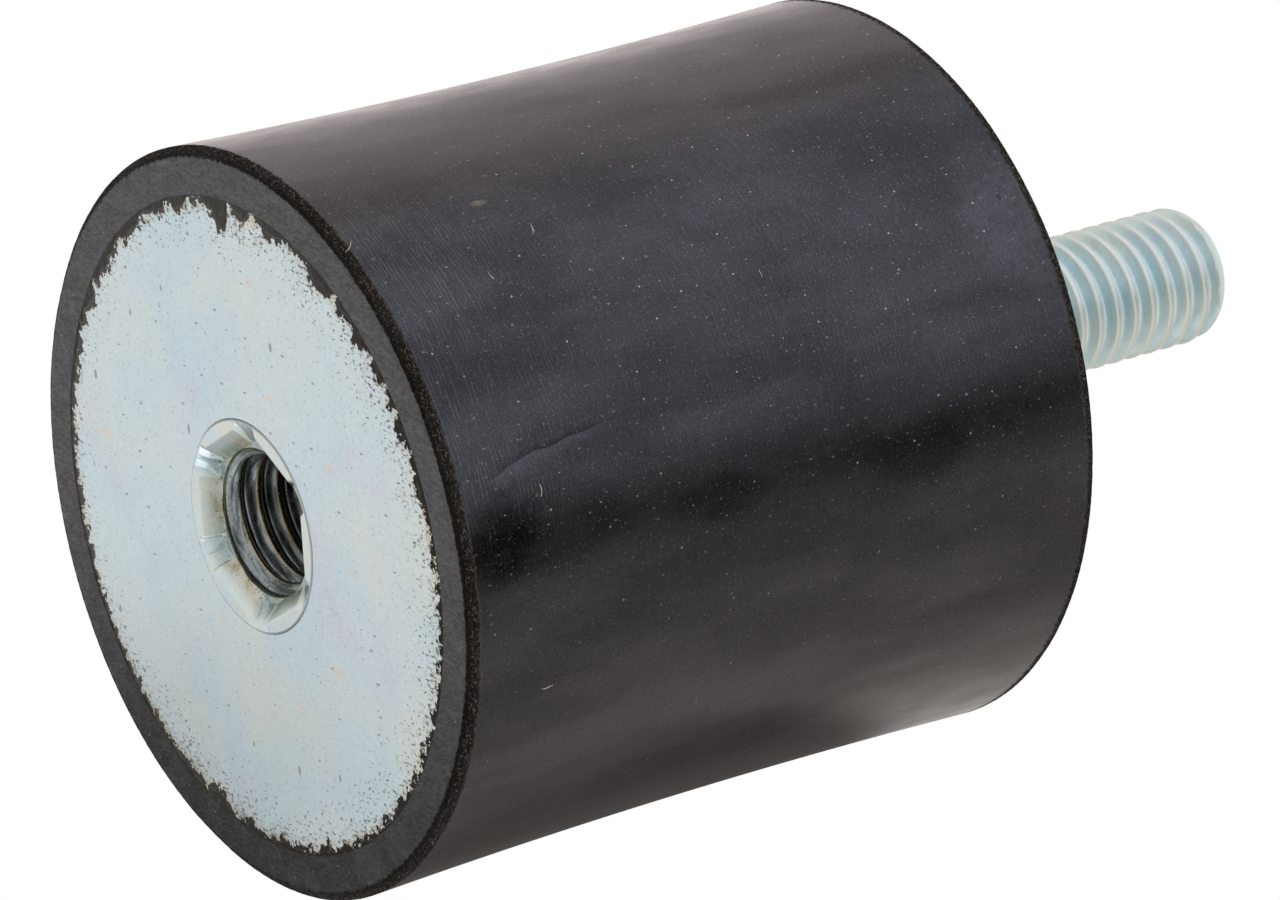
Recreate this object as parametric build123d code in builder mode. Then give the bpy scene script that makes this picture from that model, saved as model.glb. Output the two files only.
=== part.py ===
"""Rubber-to-metal vibration mount: a waisted rubber cylinder bonded between two steel plates,
with a threaded stud on one end and a staked, threaded insert in the other.

Millimetres. +Z runs along the axis towards the stud; the female end face lies on z = 0.
"""

from build123d import *
import os
from math import radians, tan

# Rubber body
BODY_DIAMETER = 40.0
BODY_HEIGHT = 40.0
WAIST_DEPTH = 0.38  # how far the flank draws in at mid height
TRIM_HEIGHT = 0.4  # bevel at each end, where the moulding flash was trimmed off
TRIM_SETBACK = 0.5

# End plates, flush in the rubber
PLATE_DIAMETER = 35.0
PLATE_THICKNESS = 2.0

# M8 thread
THREAD_DIAMETER = 8.0
TAP_DRILL_DIAMETER = 6.8
THREAD_DEPTH = 8.0
DRILL_RUNOUT = 0.8  # full drill diameter left below the last turn
DRILL_POINT_ANGLE = 118.0

# Threaded insert
SPIGOT_DIAMETER = 10.9
STAKED_FLARE = 0.25  # staking spreads the spigot into the plate's countersink by this much
COLLAR_DIAMETER = 15.0
INSERT_LENGTH = 12.4
COLLAR_CHAMFER = 1.0

# Six-sided print that the staking punch leaves in the insert's mouth
PUNCH_SIDES = 6
PRINT_FLATS = 9.8  # across the flats at the face
PRINT_DEPTH = 0.9
LUG_WIDTH = 1.7  # the punch has a lug at each corner
LUG_REACH = 5.6  # radius that a lug reaches at the face
LUG_KNEE = (5.05, 0.45)  # radius and depth where a lug's print turns from wall to floor
LUG_ROOT = 4.3  # radius where its floor meets the thread's start

# Stud
STUD_LENGTH = 23.0
SHOULDER_DIAMETER = 9.0  # plain shoulder pressed into the plate, flush with its outer face
STUD_TIP_CHAMFER = 0.9
HEAD_DIAMETER = 14.0
HEAD_THICKNESS = 3.2
HEAD_CHAMFER = 0.6

# Radii and heights worked out from the dimensions above
body_r = BODY_DIAMETER / 2
rim_r = body_r - TRIM_SETBACK
plate_r = PLATE_DIAMETER / 2
thread_r = THREAD_DIAMETER / 2
bore_r = TAP_DRILL_DIAMETER / 2
spigot_r = SPIGOT_DIAMETER / 2
staked_r = spigot_r + STAKED_FLARE
collar_r = COLLAR_DIAMETER / 2
shoulder_r = SHOULDER_DIAMETER / 2
head_r = HEAD_DIAMETER / 2
bore_depth = THREAD_DEPTH + DRILL_RUNOUT
drill_tip = bore_depth + bore_r / tan(radians(DRILL_POINT_ANGLE / 2))
stud_plate_z = BODY_HEIGHT - PLATE_THICKNESS
head_z = stud_plate_z - HEAD_THICKNESS

# ---- Rubber body: one moulding, turned about the axis, with pockets for the metal pieces ----
with BuildPart() as rubber_body:
    with BuildSketch(Plane.XZ):
        with BuildLine():
            pocket = Polyline(
                (rim_r, 0),
                (plate_r, 0),
                (plate_r, PLATE_THICKNESS),
                (collar_r, PLATE_THICKNESS),
                (collar_r, INSERT_LENGTH - COLLAR_CHAMFER),
                (collar_r - COLLAR_CHAMFER, INSERT_LENGTH),
                (0, INSERT_LENGTH),
                (0, head_z),
                (head_r - HEAD_CHAMFER, head_z),
                (head_r, head_z + HEAD_CHAMFER),
                (head_r, stud_plate_z),
                (plate_r, stud_plate_z),
                (plate_r, BODY_HEIGHT),
                (rim_r, BODY_HEIGHT),
            )
            stud_trim = Line(pocket @ 1, (body_r, BODY_HEIGHT - TRIM_HEIGHT))
            flank = ThreePointArc(
                stud_trim @ 1,
                (body_r - WAIST_DEPTH, BODY_HEIGHT / 2),
                (body_r, TRIM_HEIGHT),
            )
            Line(flank @ 1, pocket @ 0)
        make_face()
    revolve(axis=Axis.Z)
rubber_body.part.label = "rubber_body"

# ---- Female plate: a flat disc, its hole countersunk for the staked spigot ----
with BuildPart() as female_plate:
    with BuildSketch():
        Circle(plate_r)
        Circle(spigot_r, mode=Mode.SUBTRACT)
    extrude(amount=PLATE_THICKNESS)
    outer_face_edges = female_plate.edges().group_by(Axis.Z)[0]
    chamfer(outer_face_edges.sort_by(SortBy.RADIUS)[0], length=STAKED_FLARE)
female_plate.part.label = "female_plate"

# ---- Staking punch: the hexagonal frustum and corner lugs that shape the insert's mouth ----
with BuildPart() as punch:
    with BuildSketch(Plane.XY):
        RegularPolygon(PRINT_FLATS / 2, PUNCH_SIDES, major_radius=False)
    with BuildSketch(Plane.XY.offset(PRINT_DEPTH)):
        RegularPolygon(thread_r, PUNCH_SIDES, major_radius=False)
    loft()
    for corner in range(PUNCH_SIDES):
        with BuildSketch(Plane.XZ.rotated((0, 0, 360 / PUNCH_SIDES * corner))):
            with BuildLine():
                Polyline(
                    (0, 0),
                    (LUG_REACH, 0),
                    LUG_KNEE,
                    (LUG_ROOT, PRINT_DEPTH),
                    (0, PRINT_DEPTH),
                    close=True,
                )
            make_face()
        extrude(amount=LUG_WIDTH / 2, both=True)

# ---- Threaded insert: a turned, blind bush, staked into the plate from outside ----
with BuildPart() as threaded_insert:
    with BuildSketch(Plane.XZ):
        with BuildLine():
            Polyline(
                (0, drill_tip),
                (bore_r, bore_depth),
                (bore_r, PRINT_DEPTH + thread_r - bore_r),
                (thread_r, PRINT_DEPTH),
                (thread_r, 0),
                (staked_r, 0),
                (spigot_r, STAKED_FLARE),
                (spigot_r, PLATE_THICKNESS),
                (collar_r, PLATE_THICKNESS),
                (collar_r, INSERT_LENGTH - COLLAR_CHAMFER),
                (collar_r - COLLAR_CHAMFER, INSERT_LENGTH),
                (0, INSERT_LENGTH),
                close=True,
            )
        make_face()
    revolve(axis=Axis.Z)
    add(punch.part, mode=Mode.SUBTRACT)
threaded_insert.part.label = "threaded_insert"

# ---- Stud plate: a flat disc, bored for the stud's shoulder ----
with BuildPart() as stud_plate:
    with BuildSketch(Plane.XY.offset(stud_plate_z)):
        Circle(plate_r)
        Circle(shoulder_r, mode=Mode.SUBTRACT)
    extrude(amount=PLATE_THICKNESS)
stud_plate.part.label = "stud_plate"

# ---- Stud: head behind the plate, shoulder in it, threaded length outside it ----
with BuildPart() as stud:
    with BuildSketch(Plane.XY.offset(head_z)):
        Circle(head_r)
    extrude(amount=HEAD_THICKNESS)
    chamfer(stud.edges().group_by(Axis.Z)[0], length=HEAD_CHAMFER)
    with BuildSketch(Plane.XY.offset(stud_plate_z)):
        Circle(shoulder_r)
    extrude(amount=PLATE_THICKNESS)
    with BuildSketch(Plane.XY.offset(BODY_HEIGHT)):
        Circle(thread_r)
    extrude(amount=STUD_LENGTH)
    chamfer(stud.edges().group_by(Axis.Z)[-1], length=STUD_TIP_CHAMFER)
stud.part.label = "stud"

# ---- Write each piece ----
os.makedirs("parts", exist_ok=True)
export_step(rubber_body.part, "parts/rubber_body.step")
export_step(female_plate.part, "parts/female_plate.step")
export_step(threaded_insert.part, "parts/threaded_insert.step")
export_step(stud_plate.part, "parts/stud_plate.step")
export_step(stud.part, "parts/stud.step")
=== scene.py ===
"""Looks of a rubber-to-metal vibration mount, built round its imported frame.

Lengths are millimetres in the classes below and become metres when a mesh is written.
"""

import logging
import math
from collections.abc import Sequence
from dataclasses import dataclass, field
from enum import Enum

import bmesh
import bpy
import numpy as np
from mathutils import Matrix, Vector


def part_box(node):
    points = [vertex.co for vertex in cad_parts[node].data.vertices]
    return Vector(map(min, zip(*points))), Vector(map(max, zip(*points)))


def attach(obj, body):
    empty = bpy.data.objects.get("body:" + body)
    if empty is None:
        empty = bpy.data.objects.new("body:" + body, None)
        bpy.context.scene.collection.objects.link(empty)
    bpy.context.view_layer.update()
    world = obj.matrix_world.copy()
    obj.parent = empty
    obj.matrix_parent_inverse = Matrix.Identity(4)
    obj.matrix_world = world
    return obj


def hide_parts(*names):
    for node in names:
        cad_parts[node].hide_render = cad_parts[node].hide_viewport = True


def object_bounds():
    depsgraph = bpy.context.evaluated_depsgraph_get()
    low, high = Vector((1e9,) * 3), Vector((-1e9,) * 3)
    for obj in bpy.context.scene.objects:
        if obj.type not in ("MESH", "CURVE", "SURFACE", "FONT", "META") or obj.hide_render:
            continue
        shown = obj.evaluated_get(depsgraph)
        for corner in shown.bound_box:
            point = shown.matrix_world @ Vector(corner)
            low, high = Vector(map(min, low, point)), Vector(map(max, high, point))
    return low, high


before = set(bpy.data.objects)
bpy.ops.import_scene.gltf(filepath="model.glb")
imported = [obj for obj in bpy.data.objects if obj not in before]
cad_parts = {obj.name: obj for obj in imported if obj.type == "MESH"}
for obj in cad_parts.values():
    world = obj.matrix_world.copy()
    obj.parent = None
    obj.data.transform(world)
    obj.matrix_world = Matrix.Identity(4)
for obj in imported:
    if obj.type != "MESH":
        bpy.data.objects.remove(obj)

logging.basicConfig(level=logging.INFO, format="%(message)s")
log = logging.getLogger("mount")

MM = 0.001
CAMERA_AZIMUTH = -111.3
CAMERA_ELEVATION = -32.9
CAD_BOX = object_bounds()
FILM_DULL_SIDE = -71.0  # azimuth where the rubber film on the plates is dullest, degrees
SHARP_ANGLE = 40.0  # edges that turn by more than this are sharp, degrees
SAME_PLACE = 1e-7  # points nearer than this are joined, metres
NO_LENGTH = 1e-8  # edges shorter than this are dropped, metres
FLASH_EDGE = "flash_edge"  # how far inside the edge of the flash a point of the plate lies, mm
Rgba = tuple[float, float, float, float]
Socket = bpy.types.NodeSocket
Material = bpy.types.Material


# ---------------------------------------------------------------- small helpers


def hex_linear(code: str) -> Rgba:
    """Turn an sRGB hex colour into linear RGBA.

    Args:
        code: Six hex digits after a hash, such as "#c8d2d6".

    Returns:
        The linear colour with alpha 1.
    """
    channels = []
    for start in (1, 3, 5):
        value = int(code[start:start + 2], 16) / 255
        channels.append(value / 12.92 if value <= 0.04045 else ((value + 0.055) / 1.055) ** 2.4)
    return (*channels, 1.0)


WHITE = hex_linear("#ffffff")


def ease(value: np.ndarray | float, low: float, high: float) -> np.ndarray:
    """Smooth step from 0 at low to 1 at high."""
    t = np.clip((np.asarray(value, dtype=float) - low) / (high - low), 0.0, 1.0)
    return t * t * (3 - 2 * t)


@dataclass(frozen=True)
class Ripple:
    """A repeatable, seamless ripple round the axis: many waves of random phase, summed.

    Attributes:
        seed: Seed of the random waves.
        waves: How many waves are summed.
        turns: Fewest and most crests round the circle.
        pitch: Shortest and longest wavelength along the profile, mm. The default is so long that
            the ripple doesn't change along it.
    """

    seed: int
    waves: int
    turns: tuple[int, int]
    pitch: tuple[float, float] = (1e6, 2e6)

    def at(self, angle: np.ndarray, along: np.ndarray | float = 0.0) -> np.ndarray:
        """Height of the ripple, with unit variance.

        Args:
            angle: Angles round the axis, radians.
            along: Distance along the profile, mm.

        Returns:
            The ripple's height at each place.
        """
        dice = np.random.default_rng(self.seed)
        total = np.zeros(np.broadcast(angle, along).shape)
        for _ in range(self.waves):
            crests = dice.integers(self.turns[0], self.turns[1] + 1)
            length = dice.uniform(*self.pitch) * dice.choice((-1.0, 1.0))
            phase = dice.uniform(0, 2 * math.pi)
            total = total + np.cos(crests * angle + 2 * math.pi * along / length + phase)
        return total * math.sqrt(2 / self.waves)


# ---------------------------------------------------------------- meshes


def ring_angles(segments: int) -> np.ndarray:
    """Angles of the columns of a turned mesh, radians."""
    return np.linspace(0, 2 * math.pi, segments, endpoint=False)


def turned_points(radius: np.ndarray, height: np.ndarray, segments: int) -> np.ndarray:
    """Places of a turned mesh's vertices.

    Args:
        radius: Radii, one per row or one per row and column, mm.
        height: Heights, shaped as radius is, mm.
        segments: Columns round the axis.

    Returns:
        Array of rows, columns and xyz, mm.
    """
    angle = ring_angles(segments)[None, :]
    shape = (len(radius), segments)
    radius, height = (
        np.broadcast_to(part if np.ndim(part) == 2 else np.asarray(part)[:, None], shape)
        for part in (radius, height)
    )
    return np.stack([radius * np.cos(angle), radius * np.sin(angle), height], axis=-1)


def grid_object(name: str, points: np.ndarray, loop_rows: bool = False) -> bpy.types.Object:
    """Make an object from a grid of points that closes round the axis.

    Args:
        name: Name of the piece.
        points: Rows, columns and xyz, mm. A row on the axis becomes one point.
        loop_rows: Whether the last row joins the first.

    Returns:
        The new object, smooth-shaded, with its sharp edges marked.
    """
    rows, columns, _ = points.shape
    row = np.arange(rows if loop_rows else rows - 1)[:, None]
    column = np.arange(columns)[None, :]
    below, after = (row + 1) % rows, (column + 1) % columns
    start, end = row * columns, below * columns
    quads = np.stack([start + column, start + after, end + after, end + column], axis=-1).reshape(-1, 4)
    mesh = bpy.data.meshes.new(name)
    mesh.from_pydata((points.reshape(-1, 3) * MM).tolist(), [], quads.tolist())
    piece = add_object(name, mesh)
    weld(mesh)
    mesh.polygons.foreach_set("use_smooth", [True] * len(mesh.polygons))
    mesh.set_sharp_from_angle(angle=math.radians(SHARP_ANGLE))
    return piece


def add_object(name: str, data: bpy.types.ID) -> bpy.types.Object:
    """Make an object and link it into the scene."""
    piece = bpy.data.objects.new(name, data)
    bpy.context.scene.collection.objects.link(piece)
    return piece


def flat_mesh(name: str, half_width: float, half_depth: float, level: float = 0.0) -> bpy.types.Mesh:
    """Make a level rectangle with its middle on the axis, metres."""
    corners = [(x * half_width, y * half_depth, level) for x, y in ((-1, -1), (1, -1), (1, 1), (-1, 1))]
    mesh = bpy.data.meshes.new(name)
    mesh.from_pydata(corners, [], [(0, 1, 2, 3)])
    return mesh


def weld(mesh: bpy.types.Mesh) -> None:
    """Join points that share a place, drop what collapses and turn the faces outward."""
    shape = bmesh.new()
    shape.from_mesh(mesh)
    bmesh.ops.remove_doubles(shape, verts=shape.verts, dist=SAME_PLACE)
    bmesh.ops.dissolve_degenerate(shape, edges=shape.edges, dist=NO_LENGTH)
    bmesh.ops.recalc_face_normals(shape, faces=shape.faces)
    shape.to_mesh(mesh)
    shape.free()


def stretch(start: float, end: float, steps: int) -> np.ndarray:
    """Evenly spaced values from start up to, but not including, end."""
    return np.linspace(start, end, steps, endpoint=False)


# ---------------------------------------------------------------- material nodes


def add_node(
    material: Material | bpy.types.World,
    kind: str,
    inputs: dict[str | int, object] | None = None,
    **settings: object,
) -> bpy.types.Node:
    """Add a node with its settings, values and links.

    Args:
        material: Material or world that owns the node tree.
        kind: Blender's node type.
        inputs: Input name or number to a value, or to a socket that is linked into it.
        **settings: Properties of the node, such as operation.

    Returns:
        The new node.
    """
    tree = material.node_tree
    node = tree.nodes.new(kind)
    for key, value in settings.items():
        setattr(node, key, value)
    for key, value in (inputs or {}).items():
        socket = node.inputs[key]
        if isinstance(value, Socket):
            tree.links.new(value, socket)
        else:
            socket.default_value = value
    return node


class Sheet:
    """A material being drawn up: its place in millimetres and the patterns laid on it."""

    def __init__(self, name: str) -> None:
        """Start an empty material.

        Args:
            name: Name of the finish.
        """
        self.material = bpy.data.materials.new(name)
        self.material.use_nodes = True
        self.material.node_tree.nodes.clear()
        place = self.node("ShaderNodeTexCoord").outputs["Object"]
        scaled = self.node("ShaderNodeVectorMath", {0: place, "Scale": 1 / MM}, operation="SCALE")
        self.place = scaled.outputs[0]
        split = self.node("ShaderNodeSeparateXYZ", {0: self.place})
        self.x, self.y, self.height = split.outputs
        flat = self.node("ShaderNodeCombineXYZ", {0: self.x, 1: self.y})
        self.disc = flat.outputs[0]
        self.radius = self.node("ShaderNodeVectorMath", {0: self.disc}, operation="LENGTH").outputs["Value"]
        self.angle = self.math("ARCTAN2", self.y, self.x)

    def node(
        self, kind: str, inputs: dict[str | int, object] | None = None, **settings: object
    ) -> bpy.types.Node:
        """Add a node to this material."""
        return add_node(self.material, kind, inputs, **settings)

    def math(self, operation: str, *values: object) -> Socket:
        """Work out one number from others."""
        return self.node("ShaderNodeMath", dict(enumerate(values)), operation=operation).outputs[0]

    def times(self, first: object, second: object) -> Socket:
        """Product of two numbers."""
        return self.math("MULTIPLY", first, second)

    def plus(self, first: object, second: object) -> Socket:
        """Sum of two numbers."""
        return self.math("ADD", first, second)

    def minus(self, first: object, second: object) -> Socket:
        """First number less the second."""
        return self.math("SUBTRACT", first, second)

    def most(self, first: object, second: object) -> Socket:
        """Larger of two numbers."""
        return self.math("MAXIMUM", first, second)

    def least(self, first: object, second: object) -> Socket:
        """Smaller of two numbers."""
        return self.math("MINIMUM", first, second)

    def grade(
        self, value: Socket, low: object, high: object, start: float = 0.0, end: float = 1.0
    ) -> Socket:
        """Ease a value from start at low to end at high."""
        inputs = {"Value": value, "From Min": low, "From Max": high, "To Min": start, "To Max": end}
        return self.node("ShaderNodeMapRange", inputs, interpolation_type="SMOOTHSTEP").outputs["Result"]

    def grade_between(self, share: object, first: object, second: object) -> Socket:
        """Mix two numbers."""
        return self.node("ShaderNodeMix", {0: share, 2: first, 3: second}).outputs[0]

    def unrolled(self, radius: float) -> Socket:
        """Place on a cylinder rolled out flat: distance round it, height and radius, mm."""
        round_it = self.math("MULTIPLY", self.angle, radius)
        return self.node("ShaderNodeCombineXYZ", {0: round_it, 1: self.height, 2: self.radius}).outputs[0]

    def clouds(self, size: float, detail: float = 2.0, rough: float = 0.5,
               squash: Sequence[float] = (1, 1, 1), shift: float = 0.0,
               place: Socket | None = None) -> Socket:
        """Soft irregular patches.

        Args:
            size: Size of a patch, mm.
            detail: Octaves of finer patches.
            rough: How strong the finer patches are.
            squash: Stretch of the place along its three axes before the pattern is laid.
            shift: Moves the pattern, so that two of one size differ.
            place: Where the pattern is laid, if not on the object's own place.

        Returns:
            A value round 0.5.
        """
        inputs = {"Vector": place or self.place, "Scale": squash, "Location": (shift, shift, shift)}
        moved = self.node("ShaderNodeMapping", inputs)
        inputs = {"Vector": moved.outputs[0], "Scale": 1 / size, "Detail": detail, "Roughness": rough}
        return self.node("ShaderNodeTexNoise", inputs).outputs["Fac"]

    def specks(self, place: Socket, spacing: float, size: float, share: float,
               squash: Sequence[float] = (1, 1, 1)) -> Socket:
        """Separate small specks.

        Args:
            place: Flat or rolled-out place, mm.
            spacing: Distance between places where a speck may lie, mm.
            size: Radius of the largest speck, mm.
            share: Share of the places that hold one, 0 to 1.
            squash: Stretch of the place before the pattern is laid.

        Returns:
            1 on a speck and 0 elsewhere.
        """
        moved = self.node("ShaderNodeMapping", {"Vector": place, "Scale": squash})
        cells = self.node("ShaderNodeTexVoronoi", {"Vector": moved.outputs[0], "Scale": 1 / spacing},
                          voronoi_dimensions="2D")
        lot = self.node("ShaderNodeSeparateColor", {0: cells.outputs["Color"]})
        reach = self.grade(lot.outputs[1], 0.0, 1.0, 0.35 * size / spacing, size / spacing)
        inside = self.math("LESS_THAN", cells.outputs["Distance"], reach)
        chosen = self.math("LESS_THAN", lot.outputs[0], share)
        return self.math("MULTIPLY", inside, chosen)

    def spot(self, place: Socket, centre: tuple[float, float], half: tuple[float, float],
             soft: float = 0.6) -> Socket:
        """Soft oval patch.

        Args:
            place: Flat or rolled-out place, mm.
            centre: Where its middle lies, mm.
            half: Half its width and half its height, mm.
            soft: Share of its size over which it fades.

        Returns:
            1 in the middle of the patch and 0 outside it.
        """
        inputs = {0: place, 1: (*centre, 0.0)}
        moved = self.node("ShaderNodeVectorMath", inputs, operation="SUBTRACT")
        inputs = {0: moved.outputs[0], 1: (1 / half[0], 1 / half[1], 0.0)}
        scaled = self.node("ShaderNodeVectorMath", inputs, operation="MULTIPLY")
        away = self.node("ShaderNodeVectorMath", {0: scaled.outputs[0]}, operation="LENGTH").outputs["Value"]
        return self.grade(away, 1.0, 1.0 - soft)

    def tint(self, share: object, under: object, over: object, strength: float = 1.0) -> Socket:
        """Lay one colour over another.

        Args:
            share: How much of the upper colour shows.
            under: Lower colour, as a hex colour or a socket.
            over: Upper colour, as a hex colour or a socket.
            strength: Scales the share.

        Returns:
            The mixed colour.
        """
        under, over = (hex_linear(colour) if isinstance(colour, str) else colour for colour in (under, over))
        if strength != 1.0:
            share = self.times(share, strength)
        return self.node("ShaderNodeMix", {0: share, 6: under, 7: over}, data_type="RGBA").outputs[2]

    def relief(self, depth: float, height: Socket, under: Socket | None = None,
               strength: float = 1.0) -> Socket:
        """Give the surface a fine relief.

        Args:
            depth: Depth of the relief, mm.
            height: Pattern from 0 to 1.
            under: Relief that this one is laid on.
            strength: How strongly it shows.

        Returns:
            The shading normal.
        """
        inputs = {"Height": height, "Distance": depth * MM, "Strength": strength}
        if under is not None:
            inputs["Normal"] = under
        return self.node("ShaderNodeBump", inputs).outputs[0]

    def finish(self, **inputs: object) -> Material:
        """Close the material with a Principled shader.

        Args:
            **inputs: Sockets of the shader, with underscores for spaces.

        Returns:
            The finished material.
        """
        named = {key.replace("_", " "): value for key, value in inputs.items()}
        shader = self.node("ShaderNodeBsdfPrincipled", named)
        self.node("ShaderNodeOutputMaterial", {0: shader.outputs[0]})
        return self.material


# ---------------------------------------------------------------- the mount's sizes


def extent(node: str) -> tuple[Vector, Vector]:
    """Lowest and highest corner of a frame node, mm."""
    low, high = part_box(node)
    return Vector(low) / MM, Vector(high) / MM


@dataclass(frozen=True)
class MountSizes:
    """Sizes read from the frame, mm."""

    body_r: float = extent("rubber_body")[1].x
    body_h: float = extent("rubber_body")[1].z
    plate_r: float = extent("female_plate")[1].x
    plate_t: float = extent("female_plate")[1].z
    collar_r: float = extent("threaded_insert")[1].x
    insert_h: float = extent("threaded_insert")[1].z
    stud_head_r: float = extent("stud")[1].x
    stud_low: float = extent("stud")[0].z
    stud_top: float = extent("stud")[1].z


SIZES = MountSizes()


# ---------------------------------------------------------------- finishes


def facing(sheet: Sheet, azimuth: float) -> Socket:
    """How far a place lies towards this azimuth: 1 there and -1 on the far side."""
    return sheet.math("COSINE", sheet.minus(sheet.angle, math.radians(azimuth)))


def film_sheen(sheet: Sheet) -> Socket:
    """Sheen of the rubber film on a plate, which fades towards its dull side."""
    return sheet.grade(facing(sheet, FILM_DULL_SIDE), -0.3, 0.7, 0.34, 0.08)


@dataclass(frozen=True)
class Blotch:
    """A soft oval mark on the flank.

    Attributes:
        azimuth: Where its middle lies round the axis, degrees.
        height: Height of its middle, mm.
        half_round: Half its size round the flank, mm.
        half_up: Half its size along the axis, mm.
        shade: Its colour.
        strength: How strongly it colours the rubber.
        dull: How much of the sheen it takes away.
    """

    azimuth: float
    height: float
    half_round: float
    half_up: float
    shade: str
    strength: float
    dull: float = 0.0


@dataclass(frozen=True)
class MouldedRubber:
    """Black natural rubber, as it leaves a turned steel mould.

    The mould's turning marks give faint rings, the glossy skin gives a clear sheen with lint
    and dust on it, and the trimmed edge is torn: darker, dull and full of crumbs.
    """

    black: str = "#0e0d0d"
    haze: str = "#151313"
    end_face: str = "#1d1817"
    # colour of the end face where its painted shade is darkest
    end_face_shade: str = "#0c0a0a"
    # colour of the painted glints on the turning marks and on the flow mark
    ring_glint: str = "#4d4d55"
    torn: str = "#090706"
    torn_pale: str = "#2c2520"
    crumb: str = "#7b746c"
    dust: str = "#b9b6b2"
    ior: float = 1.50  # natural rubber filled with carbon black
    bloom_ior: float = 1.57  # wax that has bloomed out of the moulded end face
    skin_rough: float = 0.27
    end_rough: float = 0.44
    torn_rough: float = 0.85
    ring_spacing: float = 0.23  # feed of the tool that turned the mould
    trim_radius: float = 19.45
    trim_height: float = 0.5
    stud_end_trim: float = 0.72  # below 1: the knife cut further down the flank at the stud end
    dusty_side: float = -146.0  # azimuth of the side that lay uppermost, degrees
    shaded_side: float = -2.0  # azimuth where the end face has least bloomed wax and darkest painted shade, degrees
    blotches: Sequence[Blotch] = (
        # the brown mark at -151.3 is a stain; the near-black patches at -95.8, -97.0 and -99.3 are painted
        # dark reflections; the grey patch at -126.0 is a painted sheen
        Blotch(-151.3, 9.1, 0.30, 0.60, "#6b5d50", 0.55),
        Blotch(-106.2, 2.9, 0.45, 0.90, "#0b0807", 0.4, 0.2),
        Blotch(-95.8, 28.8, 2.10, 4.20, "#070707", 0.6, 0.35),
        Blotch(-97.0, 16.0, 1.50, 4.50, "#070707", 0.5, 0.3),
        Blotch(-126.0, 38.0, 5.50, 4.00, "#37353a", 0.55),
        Blotch(-99.3, 2.4, 2.90, 2.90, "#030202", 0.90, 0.50),
    )
    flow_start: float = -37.67  # place round the flank where the flow mark would meet the end face, mm
    flow_slope: float = -0.152

    def make(self, body_radius: float, body_height: float) -> Material:
        """Draw up the material.

        Args:
            body_radius: Radius of the rubber body, mm.
            body_height: Height of the rubber body, mm.

        Returns:
            The material.
        """
        sheet = Sheet("moulded_rubber")
        wall = sheet.unrolled(body_radius)
        far = sheet.times(sheet.minus(body_height, sheet.height), self.stud_end_trim)
        from_end = sheet.least(sheet.height, far)
        on_end = sheet.grade(from_end, 0.02, 0.01)
        on_wall = sheet.minus(1.0, on_end)
        torn = self.torn_share(sheet, from_end)
        rings = self.rings(sheet, wall)
        # painted shade: the end face's colour darkens towards one side, together with its bloomed wax
        bloom_and_shade = sheet.grade(facing(sheet, self.shaded_side), -0.3, 1.1, 1.0, 0.0)

        haze = sheet.grade(sheet.clouds(4.0, 4.0, 0.6), 0.4, 0.72)
        colour = sheet.tint(haze, self.black, self.haze)
        # painted glint: the turning marks lighten the rubber's colour
        colour = sheet.tint(rings, colour, self.ring_glint, 0.22)
        colour, dull = self.marks_and_painted_light(sheet, wall, colour)
        colour = self.litter(sheet, wall, colour)
        colour = sheet.tint(on_end, colour, self.end_colour(sheet, bloom_and_shade))
        colour = sheet.tint(torn, colour, self.torn_colour(sheet, wall))

        normal = sheet.relief(0.005, rings)
        normal = sheet.relief(0.012, sheet.clouds(0.10, 2.0, 0.6), normal, 0.3)
        grain = sheet.times(sheet.clouds(0.22, 4.0, 0.7, (1, 0.45, 1)), on_end)
        normal = sheet.relief(0.045, grain, normal)
        rag = sheet.times(sheet.clouds(0.13, 4.0, 0.75, (0.45, 1, 1), 0.0, wall), torn)
        normal = sheet.relief(0.20, rag, normal)

        skin = sheet.grade(sheet.clouds(2.2, 3.0, 0.6, (1, 1, 0.5), 4.0), 0.3, 0.7, self.skin_rough - 0.03,
                           self.skin_rough + 0.05)
        rough = sheet.most(skin, sheet.times(on_end, self.end_rough))
        rough = sheet.most(rough, sheet.times(torn, self.torn_rough))
        shine = sheet.times(on_end, sheet.grade(bloom_and_shade, 0.0, 1.0, self.ior - 0.12, self.bloom_ior))
        ior = sheet.plus(shine, sheet.times(on_wall, self.ior))
        sheen = self.sheen(sheet, rings, dull, on_end, torn)
        return sheet.finish(
            Base_Color=colour, Roughness=rough, IOR=ior, Specular_IOR_Level=sheen, Normal=normal
        )

    def sheen(self, sheet: Sheet, rings: Socket, dull: Socket, on_end: Socket, torn: Socket) -> Socket:
        """How much the skin reflects: pores and turning marks on the flank, brushing on the ends.

        Args:
            sheet: The material.
            rings: Turning marks.
            dull: Where the skin is dull.
            on_end: Where the end faces are.
            torn: Where the edge was trimmed.

        Returns:
            The reflection level.
        """
        pores = sheet.grade(sheet.clouds(0.085, 1.0, 0.5, shift=23.0), 0.30, 0.70, 0.36, 0.56)
        uneven = sheet.grade(sheet.clouds(4.2, 3.0, 0.55, (1, 1, 0.30), 40.0), 0.34, 0.66, 0.72, 1.20)
        flank = sheet.times(sheet.math("MULTIPLY_ADD", rings, 0.34, pores), uneven)
        flank = sheet.minus(flank, sheet.times(dull, 0.5))
        brushed = sheet.grade(sheet.clouds(0.11, 2.0, 0.6, (1, 0.3, 1), 15.0), 0.30, 0.70, 0.26, 0.60)
        mottled = sheet.grade(sheet.clouds(0.9, 4.0, 0.65, (1, 0.5, 1), 19.0), 0.30, 0.70, 0.78, 1.18)
        end = sheet.times(brushed, mottled)
        whole = sheet.grade_between(on_end, flank, end)
        return sheet.times(whole, sheet.grade(torn, 0.0, 1.0, 1.0, 0.3))

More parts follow.
